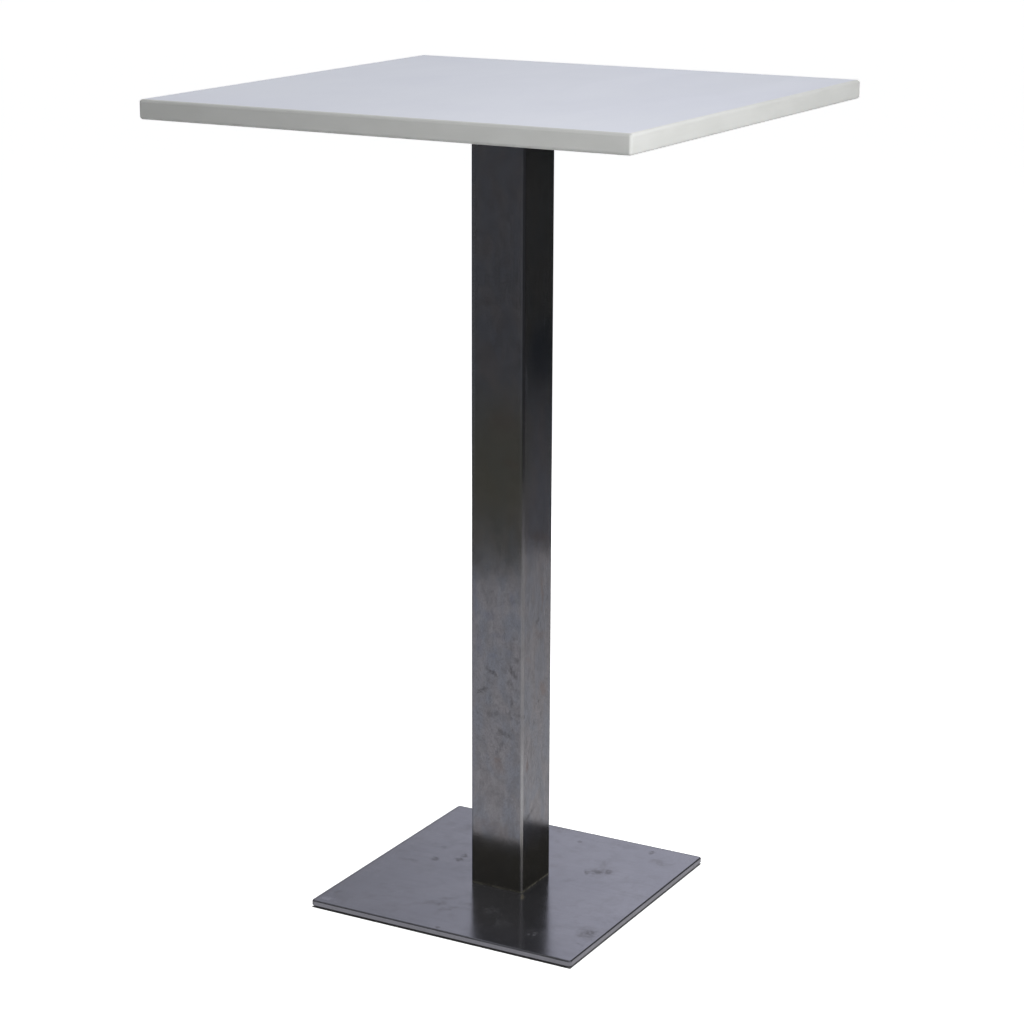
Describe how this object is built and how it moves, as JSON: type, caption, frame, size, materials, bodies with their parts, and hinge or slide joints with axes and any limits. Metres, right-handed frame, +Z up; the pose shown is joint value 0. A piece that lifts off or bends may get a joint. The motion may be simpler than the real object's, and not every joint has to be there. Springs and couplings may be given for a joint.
{
  "type": "pub table",
  "caption": "Bar-height table with a square laminate top, one square brushed steel column and a flat square steel base on levelling feet.",
  "frame": {"origin": "on the floor, at the middle of the base", "axes": "+Z up; X and Y run along the sides of the square top, column and base; front is -Y"},
  "size_m": [0.68, 0.68, 1.1],
  "materials": {
    "white_laminate": "satin",
    "backing": "matte",
    "white_edging": "satin",
    "particleboard": "matte",
    "brushed_stainless": "satin",
    "black_casting": "satin",
    "plate_steel": "satin",
    "zinc_steel": "satin",
    "black_plastic": "matte"
  },
  "bodies": {
    "table": {"top_laminate": "white_laminate", "backing_laminate": "backing", "top_core": "particleboard", "edge_band_front": "white_edging", "edge_band_rear": "white_edging", "edge_band_left": "white_edging", "edge_band_right": "white_edging", "spider": "black_casting", "spider_screws": "zinc_steel", "tie_rod": "zinc_steel", "rod_top_washer": "zinc_steel", "rod_top_nut": "zinc_steel", "rod_lock_nut": "zinc_steel", "column": "brushed_stainless", "column_foot": "zinc_steel", "base_core": "plate_steel", "base_cover": "brushed_stainless"},
    "pad_front_left": {"foot_pad_front_left": "black_plastic"},
    "screw_front_left": {"foot_screw_front_left": "zinc_steel"},
    "pad_front_right": {"foot_pad_front_right": "black_plastic"},
    "screw_front_right": {"foot_screw_front_right": "zinc_steel"},
    "pad_rear_right": {"foot_pad_rear_right": "black_plastic"},
    "screw_rear_right": {"foot_screw_rear_right": "zinc_steel"},
    "pad_rear_left": {"foot_pad_rear_left": "black_plastic"},
    "screw_rear_left": {"foot_screw_rear_left": "zinc_steel"}
  },
  "joints": [
    {"name": "lift_front_left", "type": "slide", "parent": "table", "child": "pad_front_left", "axis": [0, 0, 1], "range_m": [-0.003, 0]},
    {"name": "turn_front_left", "type": "hinge", "parent": "pad_front_left", "child": "screw_front_left", "pos_m": [-0.155, -0.155, 0.005], "axis": [0, 0, 1], "range_deg": [-888, 0]},
    {"name": "lift_front_right", "type": "slide", "parent": "table", "child": "pad_front_right", "axis": [0, 0, 1], "range_m": [-0.003, 0]},
    {"name": "turn_front_right", "type": "hinge", "parent": "pad_front_right", "child": "screw_front_right", "pos_m": [0.155, -0.155, 0.005], "axis": [0, 0, 1], "range_deg": [-888, 0]},
    {"name": "lift_rear_right", "type": "slide", "parent": "table", "child": "pad_rear_right", "axis": [0, 0, 1], "range_m": [-0.003, 0]},
    {"name": "turn_rear_right", "type": "hinge", "parent": "pad_rear_right", "child": "screw_rear_right", "pos_m": [0.155, 0.155, 0.005], "axis": [0, 0, 1], "range_deg": [-888, 0]},
    {"name": "lift_rear_left", "type": "slide", "parent": "table", "child": "pad_rear_left", "axis": [0, 0, 1], "range_m": [-0.003, 0]},
    {"name": "turn_rear_left", "type": "hinge", "parent": "pad_rear_left", "child": "screw_rear_left", "pos_m": [-0.155, 0.155, 0.005], "axis": [0, 0, 1], "range_deg": [-888, 0]}
  ],
  "couplings": [
    {"joint": "turn_front_left", "follows": "lift_front_left", "rad_per_m": 5026.5},
    {"joint": "turn_front_right", "follows": "lift_front_right", "rad_per_m": 5026.5},
    {"joint": "turn_rear_right", "follows": "lift_rear_right", "rad_per_m": 5026.5},
    {"joint": "turn_rear_left", "follows": "lift_rear_left", "rad_per_m": 5026.5}
  ]
}
